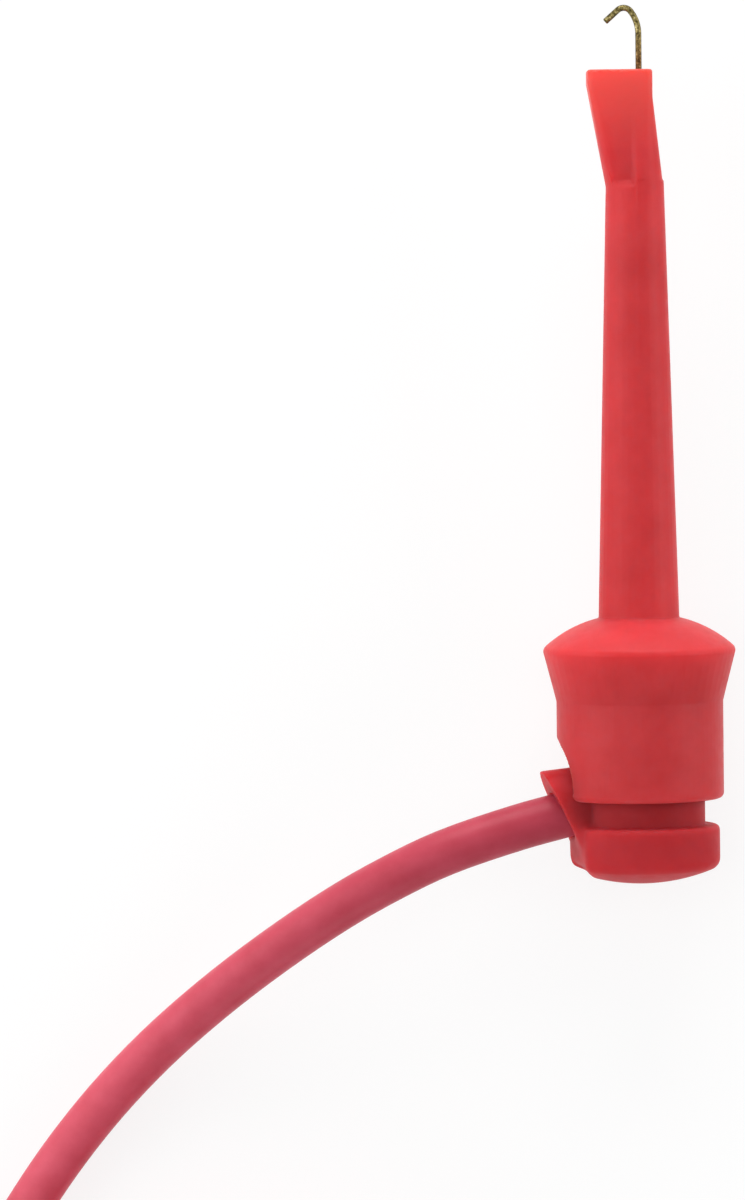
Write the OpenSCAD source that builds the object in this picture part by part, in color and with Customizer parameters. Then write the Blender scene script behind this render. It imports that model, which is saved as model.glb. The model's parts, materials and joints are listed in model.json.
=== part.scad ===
// Test lead: a spring-loaded mini hook clip on a flexible lead with a 4 mm bunch-pin plug.
// The clip lies on its collar rim and cap, nose toward +Y, with the lead leaving toward -X.
// Each clip part is drawn upright, with Z along the clip from the dome of its cap to its hook.

/* [Thumb cap] */
// Diameter of the thumb cap
cap_d = 10.8; // [10.4:0.1:12]
// Height of the cap, from the top of its dome to the neck
cap_h = 4; // [3.5:0.1:4.6]
// Radius of the dome that the thumb presses
cap_dome_r = 13; // [11:0.5:30]
// Rounding between the dome and the side of the cap
cap_edge_r = 0.8; // [0.4:0.1:1.2]
// Rounding of the shoulder beside the neck
cap_shoulder_r = 0.35; // [0.1:0.05:0.6]
// Length of the stud that closes the wiring chamber
cap_stud_l = 0.5; // [0.3:0.1:0.6]

/* [Plunger] */
// Diameter of the neck that slides in the collar
neck_d = 8.8; // [8.6:0.1:9.2]
// Length of the neck above the cap
neck_l = 8.6; // [8.2:0.1:9]
// Depth of the spring pocket in the top of the neck
pocket_depth = 4.1; // [3.7:0.1:4.3]
// Diameter of the wiring chamber under the pocket
chamber_d = 4.4; // [4:0.1:4.8]
// Height of the wiring chamber
chamber_h = 3.7; // [3.5:0.1:4]

/* [Cable boss] */
// Width of the boss that the cable enters
boss_w = 4.4; // [4.2:0.1:4.6]
// Reach of the boss from the clip's axis, at the top of its end face
boss_out = 6.95; // [6.6:0.05:7.4]
// Height of the boss above the cap's shoulder
boss_rise = 3.8; // [3.4:0.05:3.85]
// Drop of the boss's chin below the cap's shoulder
chin_drop = 2.8; // [2:0.1:3]
// Reach of the chin from the clip's axis
chin_out = 4.45; // [4.4:0.05:5.1]
// Thickness of the chin
chin_t = 0.85; // [0.6:0.05:1]
// Rounding of the chin's lower edge
chin_r = 0.5; // [0.2:0.05:0.6]
// Lean of the end face from the clip's axis, in degrees
boss_lean = 25; // [20:1:28]
// Fall of the boss's top line, in degrees
boss_slope = 6; // [4:0.5:7]
// Turn of the boss about the clip's axis, toward the clip's upper side, in degrees
boss_turn = 9; // [5:1:10]

/* [Finger collar] */
// Outside diameter of the skirt
skirt_d = 11.4; // [11:0.1:12]
// Length of the straight skirt
skirt_l = 6.7; // [6.2:0.1:7.4]
// Rounding of the skirt's lower edge
skirt_edge_r = 0.4; // [0.1:0.05:0.5]
// Diameter of the finger rim, at its sharp corner
rim_d = 13.24; // [12.6:0.04:14.4]
// Length of the flare between the skirt and the rim
flare_l = 3.57; // [3:0.05:4.4]
// Rounding of the finger rim
rim_r = 0.45; // [0.2:0.05:0.6]
// Height of the dome above the rim
dome_h = 2.1; // [1.8:0.1:2.6]
// Radius of the dome's curve
dome_r = 8.4; // [7:0.2:16]
// Thickness of the wall that the spring presses
seat_t = 1.9; // [1.4:0.1:2.1]
// Width of the skirt's notch for the boss
notch_w = 6.6; // [6.5:0.1:7]
// Height of the notch above the skirt's lower edge
notch_h = 4.2; // [4.1:0.05:4.6]
// Turn of the notch about the clip's axis, in degrees
notch_turn = -2; // [-2:1:4]

/* [Nose barrel] */
// Diameter of the nose at its root
nose_root_d = 5.53; // [5:0.05:6]
// Diameter of the nose at its ledge
nose_end_d = 3.96; // [3.8:0.04:4.4]
// Length of the nose from its root to its ledge
nose_l = 29.8; // [24:0.2:36]
// Diameter of the stud pressed into the collar
stud_d = 4; // [3.4:0.1:4.6]
// Diameter of the long bore
barrel_bore_d = 2; // [1.6:0.1:2.4]
// Length of solid nose below the ledge, where the bore narrows to the hook wire
barrel_end_t = 3; // [2:0.2:5]
// Height of the ledge where the front flat of the head starts
ledge_h = 0.57; // [0.4:0.01:0.8]
// Depth of the head from front to back
head_depth = 3.7; // [3.4:0.05:3.8]
// Turn of the flat at the ledge, in degrees
ledge_turn = 14; // [0:1:20]
// Height of the leaning part of the head
head_lean_l = 6.2; // [5:0.1:8]
// Height of the upright end of the head
head_end_l = 1.9; // [1.6:0.1:3]
// Width of the head's end
head_w = 4.43; // [4.2:0.05:4.8]
// Offset of the head's end from the clip's axis
head_offset = 1; // [0.9:0.05:1.1]
// Rounding of the head's upright edges
head_edge_r = 0.45; // [0.2:0.05:0.7]
// Rounding of the head's end
head_end_r = 0.15; // [0.05:0.05:0.15]
// Depth of the slot that takes in the hook
slot_depth = 1.2; // [1.2:0.05:1.5]

/* [Hook] */
// Diameter of the hook wire
wire_d = 0.42; // [0.36:0.02:0.5]
// Offset of the hook's shank from the clip's axis
shank_x = 0.34; // [0.24:0.02:0.44]
// Length of straight shank above the nose in the pressed pose
hook_out = 2.45; // [2.3:0.05:3]
// Radius of the long sweep above the shank, to the middle of the wire
sweep_r = 2.5; // [2.2:0.1:3]
// Angle that the sweep turns through, in degrees
sweep_angle = 35; // [30:1:38]
// Length of straight wire between the sweep and the bend
sweep_l = 0.08; // [0.08:0.02:0.3]
// Radius of the hook's tight bend, to the middle of the wire
bend_r = 0.6; // [0.5:0.05:0.7]
// Angle that the bend turns through, in degrees
bend_angle = 97; // [90:1:98]
// Length of the straight tail after the bend
tail_l = 1.17; // [0.9:0.03:1.2]
// Diameter of the crimp that joins the hook to the conductor
crimp_d = 1.6; // [1.4:0.05:1.8]
// Length of the crimp
crimp_l = 2.6; // [2.2:0.1:2.8]

/* [Spring and travel] */
// Mean diameter of the return spring
spring_d = 6; // [5.4:0.1:6.2]
// Diameter of the spring wire
spring_wire_d = 0.4; // [0.3:0.05:0.5]
// Number of turns, with one closed turn at each end
spring_turns = 7; // [5:1:9]
// Gap between the skirt and the cap while a thumb holds the hook out
press_gap = 1.8; // [1.7:0.1:2]
// Gap that is left at full press
stop_gap = 0.3; // [0.2:0.05:0.4]

/* [Cable] */
// Outside diameter of the cable
cable_d = 3.15; // [3:0.05:3.2]
// Diameter of the bare conductor
conductor_d = 1.1; // [0.8:0.1:1.2]
// Fall of the cable's bore below square to the clip's axis, in degrees
cable_fall = 14; // [12:1:18]
// Height of the bore's mouth above the cap's shoulder
mouth_rise = 0.75; // [0.5:0.05:0.8]
// Mean radius of the stored coil
coil_r = 17.7; // [16:0.1:18]
// Turns beside each other in the coil
coil_columns = 4; // [3:1:4]
// Layers of turns in the coil
coil_layers = 2; // [2:1:3]
// Thickness of the coil's tie
tie_t = 0.4; // [0.3:0.1:0.6]
// Angle of coil that the tie covers, in degrees
tie_angle = 20; // [12:2:30]

/* [Plug] */
// Diameter of the bunch pin
pin_d = 4; // [3.8:0.05:4.2]
// Length of the bunch pin outside the handle
pin_l = 15; // [12:0.5:19]
// Width of the saw cuts that part the pin into springy quarters
pin_slot = 0.45; // [0.3:0.05:0.6]
// Diameter of the plug's handle
handle_d = 9.2; // [8.6:0.1:10]
// Length of the plug's handle
handle_l = 22; // [20:0.5:26]
// Depth of the handle's grip grooves
groove_depth = 0.35; // [0.2:0.05:0.5]
// Number of grip grooves
groove_count = 5; // [3:1:6]
// Length of the strain relief
boot_l = 10; // [8:0.5:14]
// Diameter of the strain relief at the handle
boot_d = 6.6; // [6:0.1:7]
// Wall of the strain relief at its thin end
boot_wall = 0.7; // [0.5:0.05:1]
// Diameter of the wire screw
screw_d = 2.4; // [2:0.1:2.8]

/* [Hidden] */
$fn = 64;

// Clearances
fit_gap = 0.02;
slide_gap = 0.1;
wire_gap = 0.14;
spring_gap = 0.5;
cable_gap = 0.1;
bore_room = 0.6;
crimp_room = 0.4;
jacket_show = 0.3;
conductor_short = 0.5;
cut = 1;

// Heights along the clip
z_shoulder = cap_h;
z_neck_top = z_shoulder + neck_l;
z_web_top = z_neck_top - pocket_depth;
z_web_bottom = z_shoulder + chamber_h;
z_skirt = z_shoulder + press_gap;
z_flare = z_skirt + skirt_l;
z_rim = z_flare + flare_l;
z_root = z_rim + dome_h;
z_seat = z_root - seat_t;
z_ledge = z_root + nose_l;
z_head = z_ledge - ledge_h;
z_head_bend = z_head + head_lean_l;
z_tip = z_head_bend + head_end_l;
z_sweep = z_tip + hook_out;
z_crimp = z_web_bottom - crimp_room - crimp_l;
z_shank_foot = z_crimp + crimp_room;
open_travel = press_gap - stop_gap;
z_bore_top = z_neck_top + open_travel + bore_room;

// Rounded edge between the cap's dome and its side
cap_edge_x = cap_d / 2 - cap_edge_r;
cap_edge_z = cap_dome_r - sqrt(pow(cap_dome_r - cap_edge_r, 2) - pow(cap_edge_x, 2));
cap_edge_angle = atan2(cap_edge_z - cap_dome_r, cap_edge_x);
pole_angle = 1;

// Centre of the dome's curve, through the rim's corner and the nose's root
dome_a = [rim_d / 2, z_rim];
dome_b = [nose_root_d / 2, z_root];
dome_chord = dome_b - dome_a;
dome_span = norm(dome_chord);
dome_in = [-dome_chord[1], dome_chord[0]] / dome_span;
dome_c = (dome_a + dome_b) / 2 + dome_in * sqrt(pow(dome_r, 2) - pow(dome_span / 2, 2));

// Centre of the rim's rounding, inside both the flare and the dome
flare_foot = [skirt_d / 2, z_flare];
flare_dir = (dome_a - flare_foot) / norm(dome_a - flare_foot);
flare_in = [-flare_dir[1], flare_dir[0]];
rim_p = flare_foot + rim_r * flare_in - dome_c;
rim_b = rim_p * flare_dir;
rim_c = dome_c + rim_p
    + flare_dir * (sqrt(rim_b * rim_b - rim_p * rim_p + pow(dome_r - rim_r, 2)) - rim_b);

// Hook above its straight shank, as [across, along] from the shank's end
hook_angle = sweep_angle + bend_angle;
sweep_c = [-sweep_r, 0];
sweep_end = sweep_c + sweep_r * [cos(sweep_angle), sin(sweep_angle)];
bend_start = sweep_end + sweep_l * [-sin(sweep_angle), cos(sweep_angle)];
bend_c = bend_start - bend_r * [cos(sweep_angle), sin(sweep_angle)];
bend_end = bend_c + bend_r * [cos(hook_angle), sin(hook_angle)];
hook_end = bend_end + tail_l * [-sin(hook_angle), cos(hook_angle)];

// How the clip lies: tilted about X until its rim and its cap touch the table
lie_a = rim_c[0] - cap_edge_x;
lie_c = rim_c[1] - cap_edge_z;
lie_tilt = atan2(lie_a, lie_c) + asin((rim_r - cap_edge_r) / norm([lie_a, lie_c]));
lie_z = rim_c[0] * cos(lie_tilt) - rim_c[1] * sin(lie_tilt) + rim_r;
hook_reach = (z_sweep + bend_c[1] + bend_r) * cos(lie_tilt) + wire_d / 2;
dome_reach = cap_dome_r * (cos(lie_tilt) - 1);
lie_y = -(hook_reach + dome_reach) / 2;
lie_x = (boss_out * cos(boss_turn / 2) - rim_c[0] - rim_r) / 2;

// Boss, in its own turned frame with -X outward
z_boss_top = z_shoulder + boss_rise;
z_chin = z_shoulder - chin_drop;
z_chin_bend = z_boss_top - (boss_out - chin_out) / tan(boss_lean);
chin_in = chin_out - chin_t;
z_boss_root = z_boss_top + boss_out * tan(boss_slope);
z_boss_mid = z_boss_root - boss_w / 2 / cos(boss_slope);
mouth_z = z_shoulder + mouth_rise;
mouth_x = boss_out - (z_boss_top - mouth_z) * tan(boss_lean);
jacket_in = (mouth_x - chamber_d / 2 + jacket_show) / cos(cable_fall);

// Route of the lead: three points along its bore, then points chosen by hand on the table
cable_route = concat(
    [for (s = [-jacket_in, 0, 3]) lie(bore_point(s))],
    [
        [-13.3, -27.63, 7.4], [-17, -29.35, 7], [-20.5, -31.29, 6.2], [-25, -34.25, 5],
        [-29.4, -37.55, 3.6], [-33.3, -40.93, 2.5], [-36.6, -44.32, 1.9], [-39.4, -47.72, 1.7],
        [-41.8, -51.12, 1.6], [-44.4, -55.35, 1.7], [-46.9, -60, 1.8], [-49, -65, 1.9]
    ]
);
tail_route = [
    [-51, -85.5, 5.1], [-50.4, -90, 4.85], [-49, -95.2, 3.7], [-45.6, -100, 2.2],
    [-40.8, -103.7, 1.6], [-35.6, -106, 2.1], [-30.2, -107.2, 3.5], [-25.5, -107.5, 4.5],
    [-21, -107.5, 4.6], [-15, -107.5, 4.6]
];
coil_center = [-29.7, -78];
coil_w = coil_columns * cable_d;
coil_h = coil_layers * cable_d;
tie_place = 20;

// Plug, along +X with its handle on the table
plug_start = [-24, -107.5, handle_d / 2];
handle_r = 0.8;
shank_d = pin_d + 1.2;
shank_l = handle_l / 2;
shank_flange_d = pin_d + 2.4;
shank_flange_t = 1.2;
pin_tip_r = 1;
boot_bore_d = cable_d + 2 * cable_gap;
boot_seat_l = 3;
screw_place = 0.62;
groove_r = 0.6;
groove_pitch = 1.8;

// Return spring
spring_free = z_seat - z_web_top - spring_wire_d - 2 * fit_gap;
spring_steps = 20;

// Head of the nose
head_sides = 32;
head_inset = 0.17;
head_foot_r = nose_end_d / 2 - fit_gap;

// Points of an arc about c, from angle a to angle b
function arc(c, r, a, b, steps = 10) =
    [for (i = [0:steps]) c + r * [cos(a + (b - a) * i / steps), sin(a + (b - a) * i / steps)]];

// A clip point, moved to where the clip lies
function lie(p) = [
    p[0] + lie_x,
    p[1] * sin(lie_tilt) + p[2] * cos(lie_tilt) + lie_y,
    -p[1] * cos(lie_tilt) + p[2] * sin(lie_tilt) + lie_z
];

// A point on the cable's bore, s outside its mouth
function bore_point(s) =
    let (out = mouth_x + s * cos(cable_fall))
    [-out * cos(boss_turn), -out * sin(boss_turn), mouth_z - s * sin(cable_fall)];

function unit(v) = v / norm(v);

// Direction of a route at its point i
function heading(route, i) =
    unit(route[min(i + 1, len(route) - 1)] - route[max(i - 1, 0)]);

// One ring of a swept tube
function ring(route, i, r, sides) =
    let (side = unit(cross(heading(route, i), [0, 0, 1])), up = cross(side, heading(route, i)))
    [for (k = [0:sides - 1]) route[i] + r * (cos(360 * k / sides) * side + sin(360 * k / sides) * up)];

// A point of the spring, u turns from its lower end, with closed end turns
function spring_point(u, lift) =
    let (rise = u < 1 ? u * spring_wire_d
        : u > spring_turns - 1 ? spring_free - (spring_turns - u) * spring_wire_d
        : spring_wire_d + (u - 1) / (spring_turns - 2) * (spring_free - 2 * spring_wire_d))
    [spring_d / 2 * cos(360 * u), spring_d / 2 * sin(360 * u), lift + rise];

// A 2D point, moved back to a line at distance d if it lies beyond it
function flatten(p, normal, d) = p - max(0, p * normal - d) * normal;

// Ring at the foot of the head
function head_foot(z) = [
    for (k = [0:head_sides - 1])
        let (
            a = -360 * (k + 0.5) / head_sides,
            front = [-sin(ledge_turn), -cos(ledge_turn)],
            back = [-sin(ledge_turn), cos(ledge_turn)],
            cut_front = flatten(head_foot_r * [cos(a), sin(a)], front, head_depth / 2)
        )
        concat(flatten(cut_front, back, head_depth / 2), z)
];

// Rounded rectangular ring of the head, between two sides and drawn in by an inset
function head_section(z, left, right, inset = 0) = [
    for (corner = [0:3], k = [0:head_sides / 4 - 1])
        let (
            a = -90 * corner - 90 * k / (head_sides / 4 - 1),
            right_side = corner == 0 || corner == 3,
            r = head_edge_r - inset
        )
        [
            (right_side ? right - head_edge_r : left + head_edge_r) + r * cos(a),
            (corner < 2 ? -1 : 1) * (head_depth / 2 - head_edge_r) + r * sin(a),
            z
        ]
];

// A closed solid lofted through rings of points, each running clockwise about the way forward
module lofted(rings) {
    rows = len(rings);
    sides = len(rings[0]);
    walls = [
        for (i = [0:rows - 2], k = [0:sides - 1])
            let (a = i * sides + k, b = i * sides + (k + 1) % sides)
            each [[a, b, b + sides], [a, b + sides, a + sides]]
    ];
    first = [for (k = [sides - 1:-1:0]) k];
    last = [for (k = [0:sides - 1]) (rows - 1) * sides + k];
    polyhedron([for (row = rings) each row], concat([first], walls, [last]));
}

// A closed tube swept along a route
module swept(route, r, sides) {
    lofted([for (i = [0:len(route) - 1]) ring(route, i, r, sides)]);
}

// Puts an upright clip part where the clip lies
module laid() {
    translate([lie_x, lie_y, lie_z])
        rotate([lie_tilt - 90, 0, 0])
            children();
}

// Points a +Z shape outward along a line that falls by an angle
module outward(x, z, fall) {
    rotate([0, 0, boss_turn])
        translate([-x, 0, z])
            rotate([0, -90 - fall, 0])
                children();
}

// Domed cap, cut flat on the boss's side, with a slot that the boss's chin fills
module thumb_cap() {
    profile = concat(
        [[0, cap_dome_r * (1 - cos(pole_angle))]],
        arc([0, cap_dome_r], cap_dome_r, pole_angle - 90, cap_edge_angle, 12),
        arc([cap_edge_x, cap_edge_z], cap_edge_r, cap_edge_angle, 0),
        arc([cap_d / 2 - cap_shoulder_r, cap_h - cap_shoulder_r], cap_shoulder_r, 0, 90, 6),
        [[0, cap_h]]
    );
    color([0.78, 0.2, 0.2])
        laid()
            difference() {
                union() {
                    rotate_extrude() polygon(profile);
                    translate([0, 0, cap_h - cut])
                        cylinder(d = chamber_d - 2 * fit_gap, h = cap_stud_l + cut);
                }
                rotate([0, 0, boss_turn]) {
                    translate([-cap_d, -boss_w / 2 - slide_gap, -cut])
                        cube([cap_d - chin_in + fit_gap, boss_w + 2 * slide_gap, cap_h + 2 * cut]);
                    translate([-cap_d - chin_out, -cap_d / 2, -cut])
                        cube([cap_d, cap_d, cap_h + 2 * cut]);
                }
                cable_bore();
            }
}

// Way of the cable from the wiring chamber out of the boss
module cable_bore() {
    outward(0, mouth_z + mouth_x * tan(cable_fall), cable_fall)
        cylinder(d = cable_d + 2 * cable_gap, h = boss_out + 2 * cut);
}

// Side view of the boss, swept across its width
module boss_slab() {
    profile = concat(
        [[0, z_shoulder], [0, z_boss_root], [-boss_out, z_boss_top], [-chin_out, z_chin_bend]],
        arc([-chin_out + chin_r, z_chin + chin_r], chin_r, 180, 270, 6),
        [[-chin_in, z_chin], [-chin_in, z_shoulder]]
    );
    rotate([90, 0, 0])
        linear_extrude(height = boss_w, center = true)
            polygon(profile);
}

// Rounded top of the boss, with straight sides below
module boss_round() {
    translate([0, 0, z_boss_mid])
        rotate([0, -90 - boss_slope, 0])
            cylinder(d = boss_w, h = boss_out + cut);
    rotate([90, 0, 0])
        linear_extrude(height = boss_w, center = true)
            polygon([
                [0, z_boss_mid],
                [-boss_out - cut, z_boss_mid - (boss_out + cut) * tan(boss_slope)],
                [-boss_out - cut, z_chin - cut],
                [0, z_chin - cut]
            ]);
}

module plunger() {
    color([0.66, 0.17, 0.18])
        laid()
            difference() {
                union() {
                    translate([0, 0, z_shoulder + fit_gap])
                        cylinder(d = neck_d, h = neck_l - fit_gap);
                    rotate([0, 0, boss_turn])
                        intersection() {
                            boss_slab();
                            boss_round();
                        }
                }
                translate([0, 0, z_web_top])
                    cylinder(d = spring_d + spring_wire_d + 2 * spring_gap, h = pocket_depth + cut);
                translate([shank_x, 0, z_web_bottom - cut])
                    cylinder(d = wire_d + 2 * wire_gap, h = z_web_top - z_web_bottom + 2 * cut);
                translate([0, 0, z_shoulder - cut])
                    cylinder(d = chamber_d, h = chamber_h + cut);
                cable_bore();
            }
}

module finger_collar() {
    rim_angle = atan2(rim_c[1] - dome_c[1], rim_c[0] - dome_c[0]);
    flare_angle = atan2(-flare_in[1], -flare_in[0]);
    root_angle = atan2(dome_b[1] - dome_c[1], dome_b[0] - dome_c[0]);
    profile = concat(
        [[0, z_skirt]],
        arc([skirt_d / 2 - skirt_edge_r, z_skirt + skirt_edge_r], skirt_edge_r, -90, 0, 6),
        [flare_foot],
        arc(rim_c, rim_r, flare_angle, rim_angle, 8),
        arc(dome_c, dome_r, rim_angle, root_angle, 12),
        [[0, z_root]]
    );
    bore_d = neck_d + 2 * slide_gap;
    color([0.82, 0.24, 0.23])
        laid()
            difference() {
                rotate_extrude() polygon(profile);
                translate([0, 0, z_skirt - cut])
                    cylinder(d = bore_d, h = z_bore_top - z_skirt + cut);
                translate([0, 0, z_skirt - cut])
                    cylinder(d = spring_d + spring_wire_d + 2 * spring_gap, h = z_seat - z_skirt + cut);
                translate([0, 0, z_skirt])
                    cylinder(d = stud_d + 2 * fit_gap, h = z_root - z_skirt + cut);
                rotate([0, 0, notch_turn])
                    translate([0, 0, z_skirt + notch_h - notch_w / 2]) {
                        rotate([0, -90, 0])
                            cylinder(d = notch_w, h = skirt_d);
                        translate([-skirt_d, -notch_w / 2, -notch_h])
                            cube([skirt_d, notch_w, notch_h]);
                    }
            }
}

// Head of the nose: its round foot, cut flat at front and back, leans over to a rounded rectangle
module head() {
    left = -head_offset - head_w / 2;
    right = -head_offset + head_w / 2;
    lofted(concat(
        [
            head_foot(z_head),
            head_section(z_head_bend, left + head_inset, right),
            head_section(z_head_bend + head_end_l / 2, left, right)
        ],
        [
            for (a = [0:30:90])
                head_section(z_tip - head_end_r * (1 - sin(a)), left, right, head_end_r * (1 - cos(a)))
        ]
    ));
}

module nose_barrel() {
    slot_w = wire_d + 4 * slide_gap;
    slot_left = shank_x + hook_end[0] - wire_d / 2 - wire_gap;
    slot_right = shank_x + wire_d;
    color([0.8, 0.23, 0.23])
        laid()
            difference() {
                union() {
                    translate([0, 0, z_root + fit_gap])
                        cylinder(d1 = nose_root_d, d2 = nose_end_d, h = nose_l - fit_gap);
                    translate([0, 0, z_seat])
                        cylinder(d = stud_d, h = seat_t + cut);
                    head();
                }
                translate([0, 0, z_seat - cut])
                    cylinder(d = barrel_bore_d, h = z_head - barrel_end_t - z_seat + cut);
                translate([shank_x, 0, z_head - barrel_end_t - cut])
                    cylinder(d = wire_d + 2 * wire_gap, h = z_tip - z_head + barrel_end_t + 2 * cut);
                translate([slot_left, -slot_w / 2, z_tip - slot_depth])
                    cube([slot_right - slot_left, slot_w, slot_depth + cut]);
            }
}

// Straight wire from a point of the hook, leaning by an angle
module wire_line(p, angle, l) {
    translate([p[0], 0, p[1]])
        rotate([0, -angle, 0])
            cylinder(d = wire_d, h = l);
}

// Bent wire about a centre, from one angle through another
module wire_arc(c, r, start, angle) {
    translate([c[0], 0, c[1]])
        rotate([90, 0, 0])
            rotate([0, 0, start])
                rotate_extrude(angle = angle)
                    translate([r, 0]) circle(d = wire_d);
}

// Barely proud ball where two lengths of wire meet, which makes them one piece
module wire_joint(p) {
    translate([p[0], 0, p[1]])
        sphere(d = wire_d + fit_gap);
}

module hook_contact() {
    color([0.72, 0.6, 0.32])
        laid()
            translate([shank_x, 0, z_sweep]) {
                wire_line([0, z_shank_foot - z_sweep], 0, z_sweep - z_shank_foot);
                wire_arc(sweep_c, sweep_r, 0, sweep_angle);
                wire_joint(sweep_end);
                wire_line(sweep_end, sweep_angle, sweep_l);
                wire_joint(bend_start);
                wire_arc(bend_c, bend_r, sweep_angle, bend_angle);
                wire_joint(bend_end);
                wire_line(bend_end, hook_angle, tail_l);
            }
}

module return_spring() {
    lift = z_web_top + spring_wire_d / 2 + fit_gap;
    rings = spring_turns * spring_steps;
    color([0.75, 0.75, 0.77])
        laid()
            swept([for (i = [0:rings]) spring_point(i / spring_steps, lift)], spring_wire_d / 2, 8);
}

module crimp_sleeve() {
    color([0.75, 0.65, 0.4])
        laid()
            difference() {
                translate([shank_x, 0, z_crimp])
                    cylinder(d = crimp_d, h = crimp_l);
                translate([shank_x, 0, z_shank_foot - fit_gap])
                    cylinder(d = wire_d + 2 * fit_gap, h = crimp_l + cut);
                conductor_run(conductor_d + 2 * fit_gap, fit_gap);
            }
}

// Bare wire from the end of the cable's jacket to the side of the hook's shank
module conductor_run(d, more) {
    reach = mouth_x / cos(cable_fall) - jacket_in - conductor_short;
    outward(mouth_x, mouth_z, cable_fall)
        translate([0, 0, -jacket_in - reach - more])
            cylinder(d = d, h = reach - fit_gap + more);
}

module conductor() {
    color([0.76, 0.46, 0.3])
        laid()
            conductor_run(conductor_d, 0);
}

module cable() {
    color([0.86, 0.33, 0.4])
        swept(cable_route, cable_d / 2, 8);
}

module cable_tail() {
    color([0.86, 0.33, 0.4])
        swept(tail_route, cable_d / 2, 8);
}

module cable_coil() {
    corner = cable_d / 2;
    inner = coil_r - coil_w / 2;
    outer = coil_r + coil_w / 2;
    profile = concat(
        arc([outer - corner, tie_t + corner], corner, -90, 0, 6),
        arc([outer - corner, tie_t + coil_h - corner], corner, 0, 90, 6),
        arc([inner + corner, tie_t + coil_h - corner], corner, 90, 180, 6),
        arc([inner + corner, tie_t + corner], corner, 180, 270, 6)
    );
    color([0.86, 0.33, 0.4])
        translate(coil_center)
            rotate_extrude() polygon(profile);
}

module coil_tie() {
    color([0.12, 0.12, 0.13])
        translate(coil_center)
            rotate([0, 0, tie_place])
                rotate_extrude(angle = tie_angle)
                    translate([coil_r - coil_w / 2, tie_t])
                        difference() {
                            translate([-tie_t, -tie_t])
                                square([coil_w + 2 * tie_t, coil_h + 2 * tie_t]);
                            translate([-fit_gap, -fit_gap])
                                square([coil_w + 2 * fit_gap, coil_h + 2 * fit_gap]);
                        }
}

// Puts a part drawn along Z on the plug's axis
module on_plug(x) {
    translate(plug_start + [x, 0, 0])
        rotate([0, 90, 0])
            children();
}

module plug_boot() {
    tip_d = boot_bore_d + 2 * boot_wall;
    color([0.78, 0.2, 0.2])
        on_plug(0)
            difference() {
                union() {
                    cylinder(d1 = tip_d, d2 = boot_d, h = boot_l);
                    translate([0, 0, boot_l - fit_gap])
                        cylinder(d = boot_d - 2, h = boot_seat_l + fit_gap);
                }
                translate([0, 0, -cut])
                    cylinder(d = boot_bore_d, h = boot_l + boot_seat_l + 2 * cut);
            }
}

module plug_handle() {
    half = handle_d / 2;
    first_groove = handle_l / 2 - (groove_count - 1) / 2 * groove_pitch;
    profile = concat(
        [[0, 0]],
        arc([half - handle_r, handle_r], handle_r, -90, 0, 6),
        [
            for (i = [0:groove_count - 1])
                let (z = first_groove + i * groove_pitch)
                each [[half, z - groove_r], [half - groove_depth, z], [half, z + groove_r]]
        ],
        arc([half - handle_r, handle_l - handle_r], handle_r, 0, 90, 6),
        [[0, handle_l]]
    );
    color([0.8, 0.22, 0.22])
        on_plug(boot_l + fit_gap)
            difference() {
                rotate_extrude() polygon(profile);
                translate([0, 0, -cut])
                    cylinder(d = boot_d - 2 + 2 * fit_gap, h = boot_seat_l + fit_gap + cut);
                translate([0, 0, handle_l - shank_l])
                    cylinder(d = shank_d + 2 * fit_gap, h = shank_l + cut);
                cylinder(d = boot_bore_d, h = handle_l - shank_l + cut);
                translate([0, 0, handle_l * screw_place])
                    rotate([0, -90, 0])
                        cylinder(d = screw_d + 2 * fit_gap, h = handle_d);
            }
}

module plug_pin() {
    front = boot_l + handle_l + 2 * fit_gap;
    tip = shank_flange_t + pin_l;
    profile = concat(
        [[0, 0], [shank_flange_d / 2, 0]],
        [[shank_flange_d / 2, shank_flange_t], [pin_d / 2, shank_flange_t]],
        arc([pin_d / 2 - pin_tip_r, tip - pin_tip_r], pin_tip_r, 0, 90, 6),
        [[0, tip]]
    );
    color([0.82, 0.72, 0.45])
        on_plug(front)
            difference() {
                union() {
                    rotate_extrude() polygon(profile);
                    translate([0, 0, fit_gap - shank_l])
                        cylinder(d = shank_d, h = shank_l);
                }
                for (turn = [0, 90])
                    rotate([0, 0, turn])
                        translate([-pin_d, -pin_slot / 2, shank_flange_t])
                            cube([2 * pin_d, pin_slot, pin_l + cut]);
            }
}

module plug_screw() {
    head_z = boot_l + fit_gap + handle_l * screw_place;
    foot = shank_d / 2 + fit_gap;
    top = handle_d / 2 - groove_depth;
    slot_w = screw_d / 5;
    color([0.8, 0.8, 0.82])
        on_plug(head_z)
            rotate([0, -90, 0])
                difference() {
                    translate([0, 0, foot])
                        cylinder(d = screw_d, h = top - foot);
                    translate([-screw_d, -slot_w / 2, top - slot_w])
                        cube([2 * screw_d, slot_w, slot_w + cut]);
                }
}

thumb_cap();
plunger();
finger_collar();
nose_barrel();
hook_contact();
return_spring();
crimp_sleeve();
conductor();
cable();
cable_coil();
coil_tie();
cable_tail();
plug_boot();
plug_handle();
plug_pin();
plug_screw();
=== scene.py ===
import json
import math

import bmesh
import bpy
from mathutils import Matrix, Vector

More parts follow.
